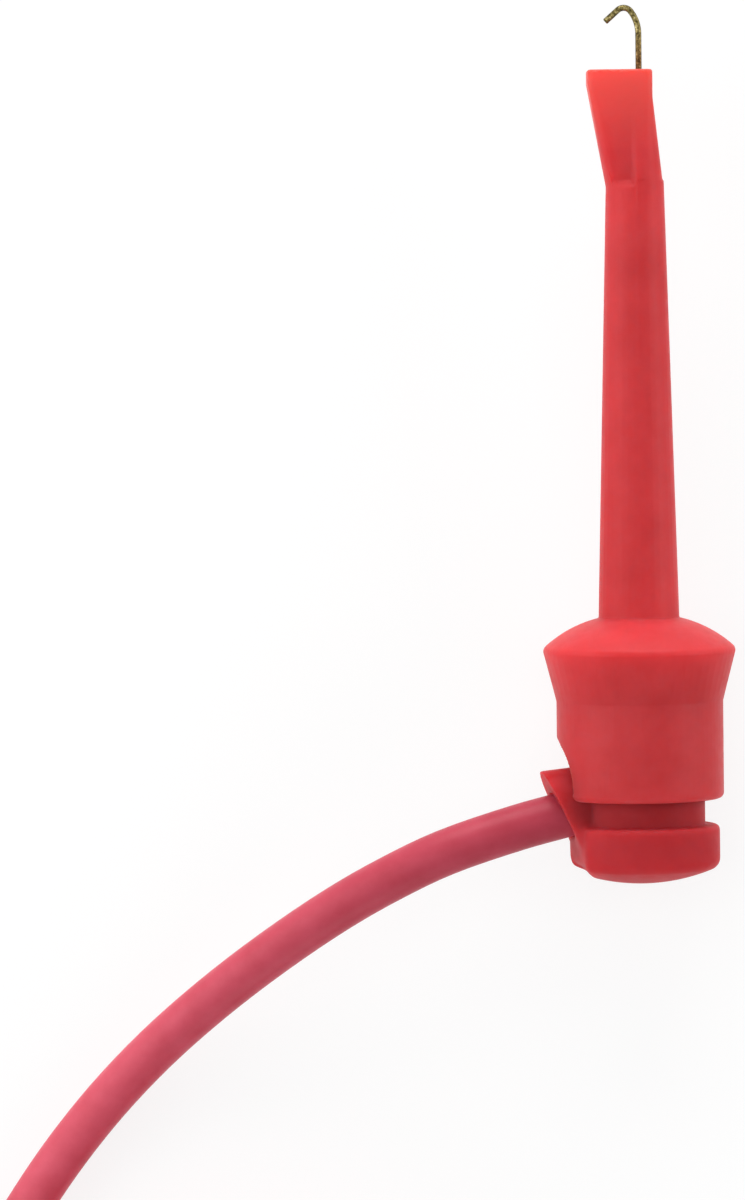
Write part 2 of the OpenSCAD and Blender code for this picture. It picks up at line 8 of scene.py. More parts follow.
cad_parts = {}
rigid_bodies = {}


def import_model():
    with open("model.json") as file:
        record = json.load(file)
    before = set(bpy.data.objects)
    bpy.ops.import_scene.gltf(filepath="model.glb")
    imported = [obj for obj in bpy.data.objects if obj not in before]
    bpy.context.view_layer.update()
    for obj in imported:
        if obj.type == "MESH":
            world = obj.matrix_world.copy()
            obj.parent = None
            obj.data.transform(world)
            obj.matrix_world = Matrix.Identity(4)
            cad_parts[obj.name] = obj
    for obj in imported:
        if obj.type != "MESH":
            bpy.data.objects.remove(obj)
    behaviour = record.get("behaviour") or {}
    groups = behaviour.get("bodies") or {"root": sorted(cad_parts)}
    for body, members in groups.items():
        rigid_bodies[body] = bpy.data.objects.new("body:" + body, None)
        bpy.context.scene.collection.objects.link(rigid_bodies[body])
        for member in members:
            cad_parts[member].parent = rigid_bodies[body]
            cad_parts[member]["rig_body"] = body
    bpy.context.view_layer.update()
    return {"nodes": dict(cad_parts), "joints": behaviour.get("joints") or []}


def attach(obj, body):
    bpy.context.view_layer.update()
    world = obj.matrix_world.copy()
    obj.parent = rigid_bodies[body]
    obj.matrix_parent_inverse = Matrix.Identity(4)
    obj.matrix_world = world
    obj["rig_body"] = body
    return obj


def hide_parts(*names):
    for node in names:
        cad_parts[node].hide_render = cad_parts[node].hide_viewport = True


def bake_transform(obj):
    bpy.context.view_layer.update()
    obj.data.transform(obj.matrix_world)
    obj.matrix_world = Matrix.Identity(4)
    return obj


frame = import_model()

cad = frame["nodes"]
slide_axis = Vector(frame["joints"][0]["axis"])
scene = bpy.context.scene
scene.view_settings.view_transform = "Standard"
ACROSS = Vector((1, 0, 0))
UP = Vector((0, 0, 1))
MM = 0.001

# Camera, with lengths in metres and angles in degrees

VIEW_ANGLE = 10
SENSOR_WIDTH = 36
NEAREST_SEEN = 0.01
FARTHEST_SEEN = 20
CAMERA_ELEVATION = 87.93
CAMERA_ROLL = 0.66
CAMERA_DISTANCE = 468.2 * MM
CAMERA_TARGET = Vector((-18.004, -10.327, 7.0)) * MM


def make_camera():
    """The photograph's view, almost straight down."""
    data = bpy.data.cameras.new("camera")
    data.sensor_width = SENSOR_WIDTH
    data.lens = SENSOR_WIDTH / 2 / math.tan(math.radians(VIEW_ANGLE / 2))
    data.clip_start = NEAREST_SEEN
    data.clip_end = FARTHEST_SEEN
    camera = bpy.data.objects.new("camera", data)
    scene.collection.objects.link(camera)
    e = math.radians(CAMERA_ELEVATION)
    r = math.radians(CAMERA_ROLL)
    forward = Vector((0, math.cos(e), -math.sin(e)))
    up = ACROSS.cross(forward)
    turned_right = math.cos(r) * ACROSS - math.sin(r) * up
    turned_up = math.sin(r) * ACROSS + math.cos(r) * up
    turn = Matrix((turned_right, turned_up, -forward)).transposed()
    place = Matrix.Translation(CAMERA_TARGET - CAMERA_DISTANCE * forward)
    camera.matrix_world = place @ turn.to_4x4()
    scene.camera = camera


make_camera()

# Helpers for shapes

BEVEL_SEGMENTS = 2


def ease(x, start, end):
    """Rises smoothly from 0 at start to 1 at end."""
    t = min(1, max(0, (x - start) / (end - start)))
    return t * t * (3 - 2 * t)


def mesh_object(name, vertices, faces, smooth=True):
    """A new object with a mesh of these points and faces."""
    mesh = bpy.data.meshes.new(name)
    mesh.from_pydata(vertices, [], faces)
    mesh.validate()
    mesh.polygons.foreach_set("use_smooth", [smooth] * len(mesh.polygons))
    obj = bpy.data.objects.new(name, mesh)
    scene.collection.objects.link(obj)
    return obj


def spline(points, steps):
    """A smooth line through the points, with that many steps between two of them."""
    out = []
    for i in range(len(points) - 1):
        p1, p2 = points[i], points[i + 1]
        p0 = points[i - 1] if i else 2 * p1 - p2
        p3 = points[i + 2] if i + 2 < len(points) else 2 * p2 - p1
        a, b, c = (p1 - p0).length ** 0.5, (p2 - p1).length ** 0.5, (p3 - p2).length ** 0.5
        m1 = (p2 - p1) + b * ((p1 - p0) / a - (p2 - p0) / (a + b))
        m2 = (p2 - p1) + b * ((p3 - p2) / c - (p3 - p1) / (b + c))
        for k in range(steps):
            t = k / steps
            h1, h2 = 2 * t**3 - 3 * t**2 + 1, t**3 - 2 * t**2 + t
            out.append(h1 * p1 + h2 * m1 + (1 - h1) * p2 + (t**3 - t**2) * m2)
    return out + [points[-1]]


def tube(name, line, radius, sides):
    """A closed tube along a line, with u round it and v along it, both in lengths once round it."""
    vertices, along = [], [0.0]
    side = (line[1] - line[0]).cross(UP).normalized()
    for i, p in enumerate(line):
        ahead = (line[min(i + 1, len(line) - 1)] - line[max(i - 1, 0)]).normalized()
        side = (side - side.dot(ahead) * ahead).normalized()
        up = ahead.cross(side)
        for k in range(sides):
            a = 2 * math.pi * k / sides
            vertices.append(p + radius * (math.cos(a) * side + math.sin(a) * up))
        if i:
            along.append(along[-1] + (p - line[i - 1]).length)
    walls = []
    last_ring = (len(line) - 1) * sides
    for a in range(0, last_ring, sides):
        b = a + sides
        for k in range(sides):
            n = (k + 1) % sides
            walls.append((a + k, a + n, b + n, b + k))
    ends = [tuple(reversed(range(sides))), tuple(range(last_ring, last_ring + sides))]
    obj = mesh_object(name, vertices, walls + ends)
    uv = obj.data.uv_layers.new(name="along")
    for n, polygon in enumerate(obj.data.polygons):
        for corner in polygon.loop_indices:
            ring, k = divmod(obj.data.loops[corner].vertex_index, sides)
            closes = n < len(walls) and n % sides == sides - 1 and k == 0
            uv.data[corner].uv = (1.0 if closes else k / sides, along[ring] / (2 * math.pi * radius))
    return obj


def bevelled(obj, width, angle):
    """Rounds the edges where an object turns by more than an angle."""
    bevel = obj.modifiers.new("edge", "BEVEL")
    bevel.width = width * MM
    bevel.segments = BEVEL_SEGMENTS
    bevel.limit_method = "ANGLE"
    bevel.angle_limit = math.radians(angle)


# The lead, from the boss of the clip through its stored coil to the plug, in mm

PITCH = 3.15
CABLE_D = PITCH * MM
LEAD = [
    (-1.69593, -24.2248, 6.00396), (-5.27903, -25.1726, 6.49565), (-8.15408, -25.9332, 6.89019),
    (-13.3, -27.63, 7.4), (-17, -29.35, 7), (-20.5, -31.29, 6.2), (-25, -34.25, 5),
    (-29.4, -37.55, 3.6), (-33.3, -40.93, 2.5), (-36.6, -44.32, 1.9), (-39.4, -47.72, 1.7),
    (-41.8, -51.12, 1.6), (-44.4, -55.35, 1.7), (-46.9, -60, 1.8), (-49, -65, 1.9),
]
TAIL = [
    (-50.4, -90, 4.85), (-49, -95.2, 3.7), (-45.6, -100, 2.2), (-40.8, -103.7, 1.6), (-35.6, -106, 2.1),
    (-30.2, -107.2, 3.5), (-25.5, -107.5, 4.5), (-21, -107.5, 4.6), (-15, -107.5, 4.6),
]
LEAD_STEPS = 4
LEAD_SIDES = 28
TIE_T = 0.4
COIL_CENTER = (-29.7, -78)
COIL_R = 17.7
COIL_Z = TIE_T + PITCH / 2
COIL_COLUMNS = 4
COIL_START = 168.5
COIL_STOP = 200
COIL_TURNS = 7
COIL_TURNED = COIL_STOP + 360 * COIL_TURNS - COIL_START
COIL_STEP = 15
# Degrees of a turn in which the cable moves to the next place
INWARD = (290, 360)
RISE = (200, 290)
OUTWARD = (110, 200)


def on_coil(r, z, degrees):
    """A place round the coil's axis, in metres."""
    a = math.radians(degrees)
    return Vector((COIL_CENTER[0] + r * math.cos(a), COIL_CENTER[1] + r * math.sin(a), z)) * MM


def coil_point(turned):
    """Place on the coil after so many degrees: the low layer runs inward, the high one outward."""
    turn, rest = divmod(turned, 360)
    last = COIL_COLUMNS - 1
    if turn <= last:
        column = turn + (ease(rest, *INWARD) if turn < last else 0)
        layer = ease(rest, *RISE) if turn == last else 0
    else:
        column = 2 * last + 1 - turn - ease(rest, *OUTWARD)
        layer = 1
    r = COIL_R + (last / 2 - max(0, column)) * PITCH
    return on_coil(r, COIL_Z + layer * PITCH, COIL_START + turned)


coil_steps = round(COIL_TURNED / COIL_STEP)
coil = [coil_point(COIL_TURNED * i / coil_steps) for i in range(coil_steps + 1)]
route = [Vector(p) * MM for p in LEAD] + coil + [Vector(p) * MM for p in TAIL]
line = spline(route, LEAD_STEPS)
lead = tube("lead", line, CABLE_D / 2, LEAD_SIDES)
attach(lead, "plunger_body")
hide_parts("cable", "cable_coil", "cable_tail")

# Moulded pieces: the CAD shapes with the small roundings of a mould, in mm from the clip's foot

CLIP_FOOT = Vector((0.180676, -29.8361, 5.24566)) * MM
VOXEL = 0.07
SMOOTHING = 0.5
KEPT_SHARE = 0.2
PLUNGER_PASSES = 16
BARREL_PASSES = 5
# Heights of the faces where two solids meet, which move down to close the gap
SEAMS = (4.02, 18.19)
SEAM_NEAR = 0.005
SEAM_SHIFT = 0.2
WELD = 1e-4
# Where the chin of the boss runs into the cap
CHIN_SIDE = 3.0
CHIN_TOP = 4.4
CHIN_FADE = 0.9
CHIN_PASSES = 140
# The hollow in the front of the head, its ledge, and the faint strip below it
HEAD_FRONT = 1.3
LEDGE = 47.97
LIP_L = 0.42
DISH_L = 5.6
DISH_DEPTH = 0.38
DISH_POWER = 1.5
DISH_RIGHT = (-0.35, 0.1)
DISH_LEFT = -1.9
DISH_LEAN = -0.14
DISH_FADE = 0.8
STRIP_L = 4
STRIP_DEPTH = 0.1
STRIP_LEFT = (0, 0.12)
STRIP_RIGHT = (0.2, 1.1)


def evaluated(work, name):
    """The mesh of an object with its modifiers applied."""
    bpy.context.view_layer.update()
    made = bpy.data.meshes.new_from_object(work.evaluated_get(bpy.context.evaluated_depsgraph_get()))
    made.name = name
    work.modifiers.clear()
    return made


def soften_chin(mesh):
    """Runs the boss's chin and the cap into each other, in a mesh that is in mm."""
    foot = CLIP_FOOT / MM
    bm = bmesh.new()
    bm.from_mesh(mesh)
    depths = []
    for vertex in bm.verts:
        along = (vertex.co - foot).dot(slide_axis)
        depth = min(foot.x - vertex.co.x - CHIN_SIDE, CHIN_TOP - along) / CHIN_FADE
        if depth > 0:
            depths.append((min(1, depth), vertex))
    axes = {"use_axis_x": True, "use_axis_y": True, "use_axis_z": True}
    for k in range(CHIN_PASSES):
        within = [vertex for depth, vertex in depths if depth > k / CHIN_PASSES]
        bmesh.ops.smooth_vert(bm, verts=within, factor=SMOOTHING, **axes)
    bm.to_mesh(mesh)
    bm.free()


def dish_depth(x, along):
    """How far the front of the head is hollowed: a dish that ends in a slanted ledge."""
    left = DISH_LEFT + DISH_LEAN * (along - LEDGE)
    across = ease(x, left, left + DISH_FADE) * (1 - ease(x, *DISH_RIGHT))
    if along > LEDGE:
        return DISH_DEPTH * across * max(0, 1 - (along - LEDGE) / DISH_L) ** DISH_POWER
    lip = DISH_DEPTH * across * max(0, 1 - (LEDGE - along) / LIP_L)
    beside = ease(x, *STRIP_LEFT) * (1 - ease(x, *STRIP_RIGHT))
    return max(lip, STRIP_DEPTH * (beside * ease(along, LEDGE - STRIP_L, LEDGE - LIP_L)))


def dish_head(mesh):
    """Hollows the front of the head, in a mesh that is in mm."""
    front = ACROSS.cross(slide_axis)
    for vertex in mesh.vertices:
        place = vertex.co - CLIP_FOOT / MM
        if place.dot(front) > HEAD_FRONT:
            vertex.co -= dish_depth(place.x, place.dot(slide_axis)) * front


def moulded(name, parts, passes, finish):
    """CAD nodes that look like one moulding, joined at their seams, with eased edges."""
    bm = bmesh.new()
    for part in parts:
        bm.from_mesh(cad[part].data)
    for vertex in bm.verts:
        along = (vertex.co - CLIP_FOOT).dot(slide_axis) / MM
        if any(abs(along - seam) < SEAM_NEAR for seam in SEAMS):
            vertex.co -= SEAM_SHIFT * MM * slide_axis
    bmesh.ops.scale(bm, vec=Vector((1, 1, 1)) / MM, verts=bm.verts)
    bmesh.ops.remove_doubles(bm, verts=bm.verts, dist=WELD)
    mesh = bpy.data.meshes.new(name)
    bm.to_mesh(mesh)
    bm.free()
    shape = bpy.data.objects.new(name + "_shape", mesh)
    work = bpy.data.objects.new(name, mesh.copy())
    scene.collection.objects.link(shape)
    scene.collection.objects.link(work)
    remesh = work.modifiers.new("even", "REMESH")
    remesh.mode = "VOXEL"
    remesh.voxel_size = VOXEL
    wrap = work.modifiers.new("true", "SHRINKWRAP")
    wrap.target = shape
    smooth = work.modifiers.new("ease", "SMOOTH")
    smooth.factor = SMOOTHING
    smooth.iterations = passes
    work.data = evaluated(work, name)
    bpy.data.objects.remove(shape)
    finish(work.data)
    thin = work.modifiers.new("thin", "DECIMATE")
    thin.ratio = KEPT_SHARE
    made = evaluated(work, name)
    made.transform(Matrix.Scale(MM, 4))
    work.data = made
    made.materials.clear()
    made.polygons.foreach_set("use_smooth", [True] * len(made.polygons))
    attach(work, cad[parts[0]]["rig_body"])
    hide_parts(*parts)
    return work


plunger = moulded("moulded_plunger", ["plunger", "thumb_cap"], PLUNGER_PASSES, soften_chin)
barrel = moulded("moulded_barrel", ["finger_collar", "nose_barrel"], BARREL_PASSES, dish_head)

# Hook wire: a straight shank, a long sweep, a short bend and a straight tail, in mm

WIRE_D = 0.42
SHANK_X = 0.34
SHANK_FOOT = 5.1
SHANK_TOP = 53.95
SWEEP_FOOT = 57.95
# Radius and angle of each bend, and the straight wire after it
HOOK_BENDS = ((2.5, 35, 0.08), (0.6, 97, 1.17))
HOOK_STEP = 4
HOOK_SIDES = 20
TIP_R = 0.06
TIP_ANGLE = 60


def hook_line():
    """Middle of the hook wire, from its foot to the end of its tail, in metres."""
    x, z, angle = SHANK_X, SWEEP_FOOT, 0.0
    points = [(x, SHANK_FOOT), (x, SHANK_TOP), (x, z)]
    for r, turn, straight in HOOK_BENDS:
        steps = round(turn / HOOK_STEP)
        b = math.radians(angle)
        for k in range(1, steps + 1):
            a = math.radians(angle + turn * k / steps)
            points.append((x + r * (math.cos(a) - math.cos(b)), z + r * (math.sin(a) - math.sin(b))))
        angle += turn
        b = math.radians(angle)
        x, z = points[-1]
        x, z = x - straight * math.sin(b), z + straight * math.cos(b)
        points.append((x, z))
    return [CLIP_FOOT + MM * (px * ACROSS + pz * slide_axis) for px, pz in points]


hook = tube("hook", hook_line(), WIRE_D / 2 * MM, HOOK_SIDES)
bevelled(hook, TIP_R, TIP_ANGLE)
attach(hook, "plunger_body")
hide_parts("hook_contact")

# Return spring between the two bodies, in mm

SPRING_Z = 8.5
SPRING_FOOT = CLIP_FOOT + SPRING_Z * MM * slide_axis
SPRING_R = 3.0
SPRING_WIRE = 0.4
SPRING_GAP = 0.02
SPRING_TURNS = 7
SPRING_L = 7.33
SPRING_STEPS = 24
SPRING_SIDES = 10


def spring_line():
    """Middle of the spring wire, with one closed turn at each end, in metres."""
    up = slide_axis.cross(ACROSS)
    points = []
    for i in range(SPRING_TURNS * SPRING_STEPS + 1):
        u = i / SPRING_STEPS
        if u < 1:
            rise = u * SPRING_WIRE
        elif u > SPRING_TURNS - 1:
            rise = SPRING_L - (SPRING_TURNS - u) * SPRING_WIRE
        else:
            rise = SPRING_WIRE + (u - 1) / (SPRING_TURNS - 2) * (SPRING_L - 2 * SPRING_WIRE)
        a = 2 * math.pi * u
        place = SPRING_R * (math.cos(a) * ACROSS + math.sin(a) * up)
        place = place + (rise + SPRING_WIRE / 2 + SPRING_GAP) * slide_axis
        points.append(SPRING_FOOT + place * MM)
    return points


spring = tube("spring", spring_line(), SPRING_WIRE / 2 * MM, SPRING_SIDES)
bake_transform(spring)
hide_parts("return_spring")

# Strap round the coil, with its free end lying on top, in mm and degrees

TIE_FROM, TIE_TO = 20, 40
TIE_GAP = 0.02
TIE_CORNER = PITCH / 2 * 0.9
TIE_SIGNS = ((1, -1), (1, 1), (-1, 1), (-1, -1))
CORNER_STEPS = 8
BAND_ROWS = 13
BAND_EDGE = 0.1
BAND_ANGLE = 50
END_SPAN = slice(4, 23)
END_INSET = 0.4
END_GAP = 0.01
END_OUTER = 1.9 * TIE_T


def strap_ring(grow):
    """Outline of the strap across the coil, as (radius, height), grown outward."""
    half_w = COIL_COLUMNS * PITCH / 2 + grow
    half_h = PITCH + grow
    corner = TIE_CORNER + grow
    points = []
    for quarter, (sx, sz) in enumerate(TIE_SIGNS):
        for k in range(CORNER_STEPS + 1):
            a = math.radians(90 * quarter - 90 + 90 * k / CORNER_STEPS)
            r = COIL_R + sx * (half_w - corner) + corner * math.cos(a)
            z = TIE_T + PITCH + sz * (half_h - corner) + corner * math.sin(a)
            points.append((r, z))
    return points


def band(name, inner, outer, start, end, closed):
    """A length of strap between two outlines, over an angle of the coil."""
    sides = len(inner)
    last = 2 * sides * (BAND_ROWS - 1)
    vertices, faces = [], []
    for i in range(BAND_ROWS):
        degrees = start + (end - start) * i / (BAND_ROWS - 1)
        vertices += [on_coil(r, z, degrees) for r, z in inner]
        vertices += [on_coil(r, z, degrees) for r, z in outer]
    for k in range(sides if closed else sides - 1):
        n = (k + 1) % sides
        for a in range(0, last, 2 * sides):
            b = a + 2 * sides
            faces.append((a + k, a + n, b + n, b + k))
            faces.append((a + sides + k, b + sides + k, b + sides + n, a + sides + n))
        faces.append((k, sides + k, sides + n, n))
        faces.append((last + k, last + n, last + sides + n, last + sides + k))
    if not closed:
        for a in range(0, last, 2 * sides):
            b = a + 2 * sides
            faces.append((a, b, b + sides, a + sides))
            faces.append((a + sides - 1, a + 2 * sides - 1, b + 2 * sides - 1, b + sides - 1))
    strip = mesh_object(name, vertices, faces)
    bm = bmesh.new()
    bm.from_mesh(strip.data)
    bmesh.ops.recalc_face_normals(bm, faces=bm.faces)
    bm.to_mesh(strip.data)
    bm.free()
    bevelled(strip, BAND_EDGE, BAND_ANGLE)
    return strip


strap = band("strap", strap_ring(TIE_GAP), strap_ring(TIE_T), TIE_FROM, TIE_TO, True)
end_inner = strap_ring(TIE_T + END_GAP)[END_SPAN]
end_outer = strap_ring(END_OUTER)[END_SPAN]
strap_end = band("strap_end", end_inner, end_outer, TIE_FROM + END_INSET, TIE_TO - END_INSET, False)
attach(strap_end, "plunger_body")
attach(strap, "plunger_body")
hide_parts("coil_tie")

# Helpers for materials

# Where most values of a noise lie
NOISE_SPAN = (0.3, 0.7)


def srgb(red, green, blue):
    """A colour given in the 0 to 255 steps of a screen."""

    def linear(c):
        c = c / 255
        return c / 12.92 if c <= 0.04045 else ((c + 0.055) / 1.055) ** 2.4

    return (linear(red), linear(green), linear(blue), 1.0)


def add(tree, kind, inputs=(), **settings):
    """A new node with these settings and input values."""
    node = tree.nodes.new(kind)
    for name, value in settings.items():
        setattr(node, name, value)
    for name, value in dict(inputs).items():
        node.inputs[name].default_value = value
    return node


def noise(tree, place, scale, detail=3.0, rough=0.5):
    """Cloudy values, from a place."""
    node = add(tree, "ShaderNodeTexNoise", {"Scale": scale, "Detail": detail, "Roughness": rough})
    tree.links.new(place, node.inputs["Vector"])
    return node.outputs["Fac"]


def spread(tree, value, low, high, span=NOISE_SPAN):
    """Carries a span of values over to another range."""
    ends = {"From Min": span[0], "From Max": span[1], "To Min": low, "To Max": high}
    node = add(tree, "ShaderNodeMapRange", ends)
    tree.links.new(value, node.inputs["Value"])
    return node.outputs["Result"]


def ramp(tree, value, *stops):
    """Colours that change with a value, with a stop for each (value, colour)."""
    node = add(tree, "ShaderNodeValToRGB")
    elements = node.color_ramp.elements
    while len(elements) < len(stops):
        elements.new(0.5)
    for element, (place, color) in zip(elements, stops):
        element.position = place
        element.color = color
    tree.links.new(value, node.inputs["Fac"])
    return node.outputs["Color"]


def shades(tree, value, dark, light, span=NOISE_SPAN):
    """Colours from dark to light over a span of values."""
    return ramp(tree, value, (span[0], dark), (span[1], light))


def changing(tree, vector, start, end, color):
    """A mix that leaves a colour at start and reaches its socket B at end, along a vector's y."""
    split = add(tree, "ShaderNodeSeparateXYZ")
    tree.links.new(vector, split.inputs["Vector"])
    mix = add(tree, "ShaderNodeMix", data_type="RGBA")
    tree.links.new(spread(tree, split.outputs["Y"], 0.0, 1.0, (start, end)), mix.inputs["Factor"])
    tree.links.new(color, mix.inputs["A"])
    return mix


def bumps(tree, shader, height, strength, depth):
    """Gives a shader the relief of a height, with its depth in mm."""
    node = add(tree, "ShaderNodeBump", {"Strength": strength, "Distance": depth * MM})
    tree.links.new(height, node.inputs["Height"])
    tree.links.new(node.outputs["Normal"], shader.inputs["Normal"])


def material(name, **sockets):
    """A new material with these values on its shader, and the places of its object."""
    made = bpy.data.materials.new(name)
    made.use_nodes = True
    tree = made.node_tree
    shader = tree.nodes["Principled BSDF"]
    for key, value in sockets.items():
        shader.inputs[key.replace("_", " ")].default_value = value
    place = add(tree, "ShaderNodeTexCoord").outputs["Object"]
    return made, tree, shader, place


# Materials

NYLON_GLOW = {"Subsurface_Scale": 4.5 * MM, "Subsurface_Radius": (1.0, 0.14, 0.1)}
JACKET_GLOW = {"Subsurface_Scale": 0.6 * MM, "Subsurface_Radius": (1.0, 0.35, 0.3)}
JACKET_LINES = (60, 1.2, 1)
METAL_SPAN = (0.32, 0.68)
GOLD_STOPS = (0.36, 0.56, 0.72)
PLATED = (srgb(40, 36, 20), srgb(122, 110, 66), srgb(200, 188, 142))
RUBBED = (srgb(44, 28, 16), srgb(104, 76, 46), srgb(176, 148, 108))
# Along y in metres: where the rubbed wire ends, and where the nose's thin tip is painted paler, as
# painted light coming through its thin walls
PLATED_FROM = (26.0 * MM, 28.4 * MM)
TIP_PAINTED_LIGHT = (srgb(243, 93, 85), 19.8 * MM, 25.8 * MM)
# Along the lead, in lengths once round it: where its colour changes from painted shade near the clip to
# painted light farther off
CABLE_SHADE_SPAN = (0.5, 4.0)
# Painted shade near the clip, then painted light farther along the lead
CABLE_PAINTED_SHADE = (srgb(178, 58, 75), srgb(189, 68, 86))
CABLE_PAINTED_LIGHT = (srgb(208, 79, 96), srgb(220, 91, 110))


def plastic(name, dark, light, roughness, glow, shine, grain=0.05, tip=None):
    """Moulded nylon: slightly translucent, cloudy in colour, with the fine grain of a mould.

    A thin tip can carry painted light, painted paler towards its end: tip gives that colour and where
    along y it starts and ends.
    """
    made, tree, shader, place = material(
        name, Subsurface_Weight=glow, Specular_IOR_Level=shine, **NYLON_GLOW
    )
    cloud = noise(tree, place, scale=320, detail=4, rough=0.55)
    color = shades(tree, cloud, dark, light)
    if tip:
        # painted light: the thin tip is painted paler towards its end
        painted_light, start, end = tip
        mix = changing(tree, place, start, end, color)
        mix.inputs["B"].default_value = painted_light
        color = mix.outputs["Result"]
    tree.links.new(color, shader.inputs["Base Color"])
    scuff = noise(tree, place, scale=1400, detail=5, rough=0.6)
    worn = spread(tree, scuff, low=roughness - 0.05, high=roughness + 0.06)
    tree.links.new(worn, shader.inputs["Roughness"])
    pores = noise(tree, place, scale=9000, detail=3, rough=0.6)
    bumps(tree, shader, pores, strength=grain, depth=0.03)
    return made


def jacket(name, near, far):
    """Extruded jacket: satin, with faint lines along it, darker near the clip as painted shade and
    lighter farther off as painted light.
    """
    made, tree, shader, place = material(
        name, Subsurface_Weight=0.12, Specular_IOR_Level=0.18, **JACKET_GLOW
    )
    cloud = noise(tree, place, scale=420, detail=4, rough=0.55)
    uv = add(tree, "ShaderNodeUVMap", uv_map="along").outputs["UV"]
    # painted shade near the clip gives way to painted light farther along the lead
    mix = changing(tree, uv, *CABLE_SHADE_SPAN, shades(tree, cloud, *near))
    tree.links.new(shades(tree, cloud, *far), mix.inputs["B"])
    tree.links.new(mix.outputs["Result"], shader.inputs["Base Color"])
    scuff = noise(tree, place, scale=1500, detail=4)
    tree.links.new(spread(tree, scuff, low=0.36, high=0.46), shader.inputs["Roughness"])
    stretch = add(tree, "ShaderNodeMapping", {"Scale": JACKET_LINES})
    tree.links.new(uv, stretch.inputs["Vector"])
    lines = noise(tree, stretch.outputs["Vector"], scale=1.0, detail=2)
    bumps(tree, shader, lines, strength=0.06, depth=0.04)
    return made


def metal(name, dark, light, roughness, scale, grain):
    """Plated or drawn metal, with specks and worn patches."""
    made, tree, shader, place = material(name, Metallic=1.0)
    patch = noise(tree, place, scale, detail=5, rough=0.65)
    tree.links.new(shades(tree, patch, dark, light, METAL_SPAN), shader.inputs["Base Color"])
    fine = noise(tree, place, scale * 5, detail=3, rough=0.6)
    worn = spread(tree, fine, low=roughness * 0.7, high=roughness * 1.35)
    tree.links.new(worn, shader.inputs["Roughness"])
    bumps(tree, shader, fine, strength=grain, depth=0.02)
    return made


def worn_gold(name):
    """Thin plating on the hook: olive gold with dark specks, worn to brown where the nose rubs it."""
    made, tree, shader, place = material(name, Metallic=1.0)
    speck = noise(tree, place, scale=4200, detail=5, rough=0.7)
    plated = ramp(tree, speck, *zip(GOLD_STOPS, PLATED))
    rubbed = ramp(tree, speck, *zip(GOLD_STOPS, RUBBED))
    mix = changing(tree, place, *PLATED_FROM, rubbed)
    tree.links.new(plated, mix.inputs["B"])
    tree.links.new(mix.outputs["Result"], shader.inputs["Base Color"])
    fine = noise(tree, place, scale=9000, detail=3)
    tree.links.new(spread(tree, fine, low=0.24, high=0.44), shader.inputs["Roughness"])
    bumps(tree, shader, speck, strength=0.3, depth=0.02)
    return made


def webbing(name, dark, light):
    """Woven strap."""
    made, tree, shader, place = material(name, Sheen_Weight=0.25)
    threads = add(tree, "ShaderNodeTexChecker", {"Scale": 3200})
    tree.links.new(place, threads.inputs["Vector"])
    fluff = noise(tree, place, scale=5200, detail=4, rough=0.7)
    tree.links.new(shades(tree, fluff, dark, light), shader.inputs["Base Color"])
    tree.links.new(spread(tree, fluff, low=0.75, high=0.92), shader.inputs["Roughness"])
    bumps(tree, shader, threads.outputs["Fac"], strength=0.35, depth=0.06)
    return made


def paint(made, *objects):
    """Gives objects a material in place of their own."""
    for obj in objects:
        obj.data.materials.clear()
        obj.data.materials.append(made)


# The nose's nylon, with painted light on its thin tip
red = plastic(
    "red_nylon", srgb(204, 54, 59), srgb(215, 63, 68), roughness=0.46, glow=0.9, shine=0.16, tip=TIP_PAINTED_LIGHT
)
# Painted shade: a darker copy of the nose's nylon, for the plunger and cap
painted_shade_red = plastic(
    "painted_shade_red_nylon", srgb(180, 48, 55), srgb(192, 56, 63), roughness=0.5, glow=0.9, shine=0.06
)
plug_red = plastic(
    "plug_red", srgb(188, 30, 34), srgb(204, 40, 44), roughness=0.3, glow=0.1, shine=0.5, grain=0.02
)
cable_red = jacket("cable_jacket", CABLE_PAINTED_SHADE, CABLE_PAINTED_LIGHT)
gold = worn_gold("gold_wire")
steel = metal(
    "spring_steel", srgb(150, 150, 152), srgb(205, 205, 208), roughness=0.25, scale=1800, grain=0.1
)
crimp = metal(
    "crimp_brass", srgb(150, 122, 66), srgb(206, 178, 108), roughness=0.35, scale=1600, grain=0.15
)
copper = metal(
    "copper_strands", srgb(150, 84, 52), srgb(214, 138, 96), roughness=0.35, scale=2200, grain=0.3
)
plug_gold = metal(
    "plug_brass", srgb(176, 148, 84), srgb(226, 200, 128), roughness=0.22, scale=900, grain=0.05
)
screw = metal(
    "screw_steel", srgb(160, 160, 162), srgb(214, 214, 216), roughness=0.3, scale=1500, grain=0.1
)
strap_black = webbing("tie_strap", srgb(18, 18, 19), srgb(44, 44, 46))

paint(red, barrel, cad["finger_collar"], cad["nose_barrel"])
paint(painted_shade_red, plunger, cad["thumb_cap"], cad["plunger"])
paint(cable_red, lead, cad["cable"], cad["cable_coil"], cad["cable_tail"])
paint(gold, hook, cad["hook_contact"])
paint(steel, spring, cad["return_spring"])
paint(crimp, cad["crimp_sleeve"])
paint(copper, cad["conductor"])
paint(plug_red, cad["plug_boot"], cad["plug_handle"])
paint(plug_gold, cad["plug_pin"])
paint(screw, cad["plug_screw"])
paint(strap_black, strap, strap_end, cad["coil_tie"])

# Floor, background and light, in metres

FLOOR_HALF = 3
FLOOR_DROP = 0.02 * MM
FLOOR_COLOR = (0.92, 0.92, 0.92, 1)
FLOOR_ROUGHNESS = 0.9
FLOOR_WHITE = 1.05
# How much of the floor that is looked at is plain white, the rest shows the shadow
WHITE_SHARE = 0.8
WORLD_LEVEL = 0.22
WHITE = (1, 1, 1, 1)


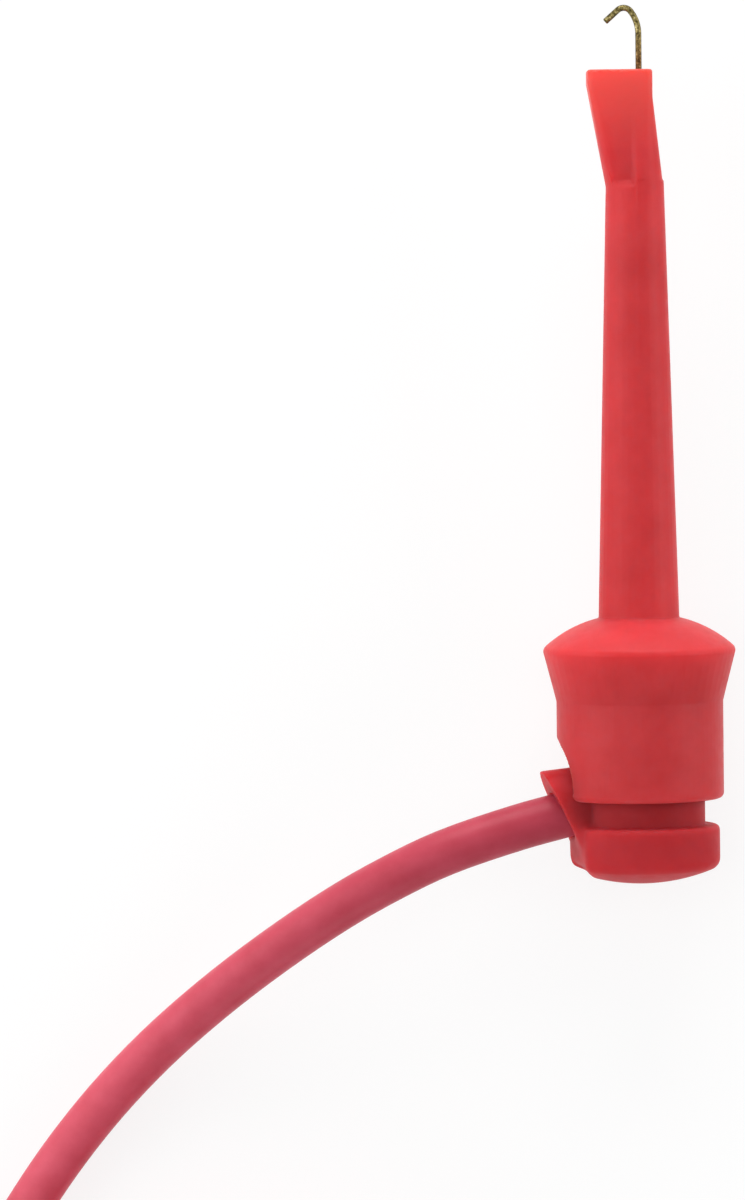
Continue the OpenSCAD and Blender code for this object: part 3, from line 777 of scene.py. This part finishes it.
def looked_at(tree):
    """1 where the camera sees a surface, also in metal or through glass."""
    path = add(tree, "ShaderNodeLightPath")
    value = path.outputs["Is Camera Ray"]
    for kind in ("Is Glossy Ray", "Is Transmission Ray"):
        either = add(tree, "ShaderNodeMath", operation="MAXIMUM")
        tree.links.new(value, either.inputs[0])
        tree.links.new(path.outputs[kind], either.inputs[1])
        value = either.outputs[0]
    return value


def make_floor():
    """A pale floor that looks white and keeps a faint shadow."""
    corners = [(x * FLOOR_HALF, y * FLOOR_HALF, 0) for x, y in ((-1, -1), (1, -1), (1, 1), (-1, 1))]
    floor = mesh_object("floor", corners, [(0, 1, 2, 3)], smooth=False)
    floor.location.z = -FLOOR_DROP
    made = bpy.data.materials.new("floor")
    made.use_nodes = True
    tree = made.node_tree
    shader = tree.nodes["Principled BSDF"]
    shader.inputs["Base Color"].default_value = FLOOR_COLOR
    shader.inputs["Roughness"].default_value = FLOOR_ROUGHNESS
    shader.inputs["Specular IOR Level"].default_value = 0.0
    white = add(tree, "ShaderNodeEmission", {"Strength": FLOOR_WHITE})
    share = add(tree, "ShaderNodeMath", operation="MULTIPLY")
    share.inputs[1].default_value = WHITE_SHARE
    tree.links.new(looked_at(tree), share.inputs[0])
    mix = add(tree, "ShaderNodeMixShader")
    tree.links.new(share.outputs[0], mix.inputs["Fac"])
    tree.links.new(shader.outputs["BSDF"], mix.inputs[1])
    tree.links.new(white.outputs["Emission"], mix.inputs[2])
    tree.links.new(mix.outputs["Shader"], tree.nodes["Material Output"].inputs["Surface"])
    floor.data.materials.append(made)


def make_world():
    """A background that looks white and gives a little light from all sides."""
    world = bpy.data.worlds.new("studio")
    scene.world = world
    world.use_nodes = True
    tree = world.node_tree
    background = tree.nodes["Background"]
    background.inputs["Color"].default_value = WHITE
    strength = add(tree, "ShaderNodeMapRange", {"To Min": WORLD_LEVEL, "To Max": 1.0})
    tree.links.new(looked_at(tree), strength.inputs["Value"])
    tree.links.new(strength.outputs["Result"], background.inputs["Strength"])


def softbox(name, azimuth, elevation, distance, size, level):
    """A square lamp: a white surface that faces it at the clip shows that level."""
    data = bpy.data.lights.new(name, "AREA")
    data.shape = "SQUARE"
    data.size = size
    data.energy = math.pi**2 * level * distance**2
    lamp = bpy.data.objects.new(name, data)
    scene.collection.objects.link(lamp)
    a = math.radians(azimuth)
    e = math.radians(elevation)
    away = Vector((math.cos(a) * math.cos(e), math.sin(a) * math.cos(e), math.sin(e)))
    lamp.location = away * distance
    lamp.rotation_euler = away.to_track_quat("Z", "Y").to_euler()


make_floor()
make_world()
softbox("left", azimuth=172, elevation=29, distance=0.33, size=0.3, level=0.5)
softbox("right", azimuth=10, elevation=20, distance=0.6, size=0.35, level=0.36)
softbox("top", azimuth=90, elevation=20, distance=0.6, size=0.4, level=0.78)
softbox("overhead", azimuth=190, elevation=80, distance=0.5, size=0.3, level=0.11)
softbox("near", azimuth=262, elevation=9, distance=0.6, size=0.4, level=0.4)
